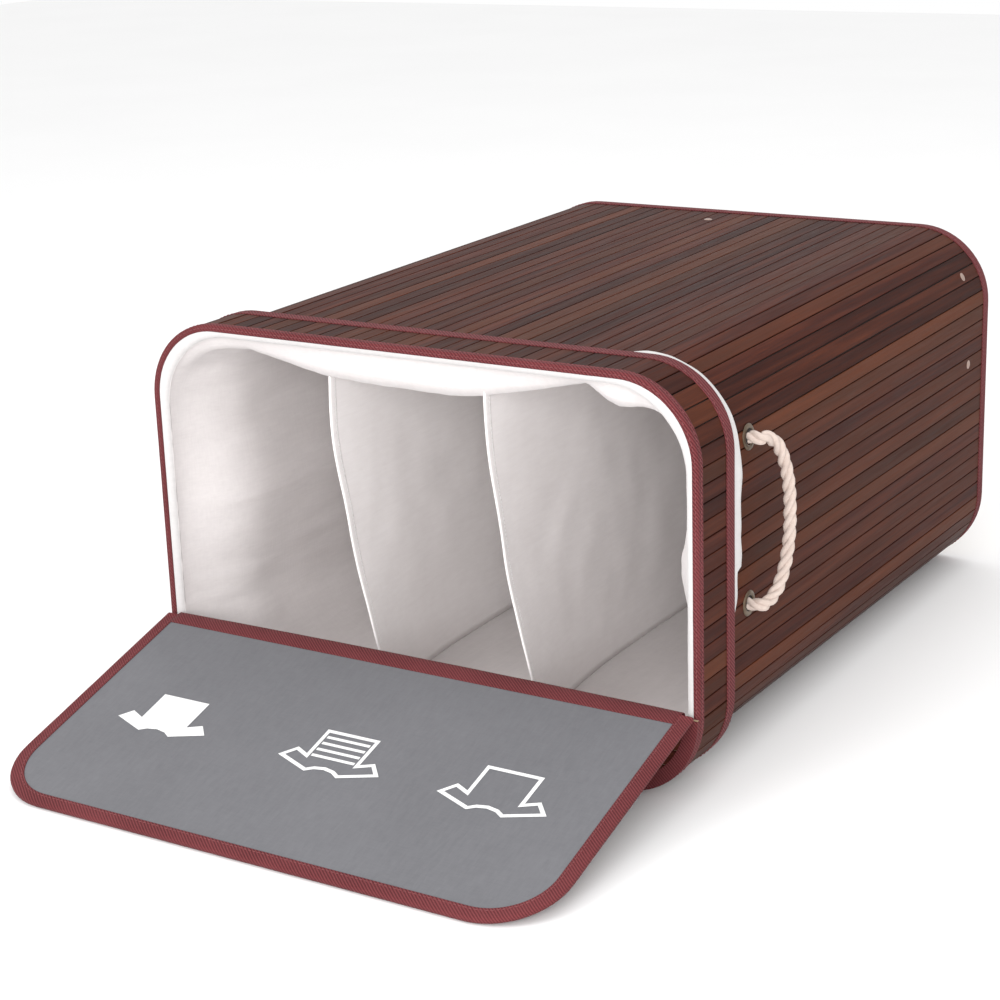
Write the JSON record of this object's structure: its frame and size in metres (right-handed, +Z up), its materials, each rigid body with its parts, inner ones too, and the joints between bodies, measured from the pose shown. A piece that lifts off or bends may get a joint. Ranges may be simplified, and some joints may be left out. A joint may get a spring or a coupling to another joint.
{
  "type": "laundry hamper",
  "caption": "Slatted wood laundry hamper lying on its back, with a removable cap-like lid, a hinged lid flap, a divided cloth liner and rope handles.",
  "frame": {"origin": "centre of the bounding box's bottom face, with the hamper lying on its back and the open flap's front edge on the floor; z = 0 is the floor", "axes": "+Y from the mouth to the base, so the mouth and the lid face -Y; +Z up, from the back wall to the front wall; +X to the right seen from the mouth. Turned 90 degrees about X, so that +Y points down, the hamper stands upright."},
  "size_m": [0.5668, 0.9105, 0.344],
  "materials": {
    "slats": "satin stained bamboo strips, dark brown with lighter streaks",
    "binding": "maroon twill tape, stitched",
    "backing": "woven cotton glued behind the slats",
    "stiffener": "plain matt board",
    "hoop": "flat spring strip",
    "board": "thin unfinished board",
    "rivets": "darkened domed heads",
    "eyelets": "aged brass, satin",
    "rope": "natural cotton, three strands twisted",
    "liner": "off-white plain cotton weave",
    "lining": "grey plain weave"
  },
  "bodies": {
    "body": {"wall_backing": "backing", "wall_slats_front": "slats", "wall_slats_back": "slats", "wall_slats_left": "slats", "wall_slats_right": "slats", "wall_slats_corners": "slats", "rim_binding": "binding", "base_binding": "binding", "rim_hoop": "hoop", "base_board": "board", "base_ring": "board", "base_rivets": "rivets", "eyelet_right_upper": "eyelets", "eyelet_right_lower": "eyelets", "eyelet_left_upper": "eyelets", "eyelet_left_lower": "eyelets", "rope_end_right_upper": "rope", "rope_end_right_lower": "rope", "rope_end_left_upper": "rope", "rope_end_left_lower": "rope", "liner_bag": "liner", "liner_cuff": "liner", "liner_divider_left": "liner", "liner_divider_right": "liner"},
    "lid": {"lid_slats_front": "slats", "lid_slats_back": "slats", "lid_slats_left": "slats", "lid_slats_right": "slats", "lid_slats_corners": "slats", "lid_backing": "backing", "lid_stiffener": "stiffener", "lid_front_binding": "binding", "lid_rear_binding": "binding", "strip_lining": "lining", "strip_board": "board", "strip_binding": "binding", "strip_slats": "slats", "strip_hinge_tape": "binding"},
    "flap": {"flap_lining": "lining", "flap_board": "board", "flap_slats": "slats", "flap_binding": "binding", "flap_hinge_tape": "binding"},
    "handle_right": {"rope_right": "rope"},
    "handle_left": {"rope_left": "rope"}
  },
  "joints": [
    {"name": "lid_slide", "type": "slide", "parent": "body", "child": "lid", "axis": [0, -1, 0], "range_m": [0, 0.09]},
    {"name": "flap_hinge", "type": "hinge", "parent": "lid", "child": "flap", "pos_m": [0, -0.20674, 0.0715], "axis": [-1, 0, 0], "range_deg": [-72, 106.1]},
    {"name": "handle_right_swing", "type": "hinge", "parent": "body", "child": "handle_right", "pos_m": [0.2676, -0.09634, 0.203], "axis": [0, 0, -1], "range_deg": [-20, 140]},
    {"name": "handle_left_swing", "type": "hinge", "parent": "body", "child": "handle_left", "pos_m": [-0.2676, -0.09634, 0.203], "axis": [0, 0, 1], "range_deg": [-20, 140]}
  ]
}
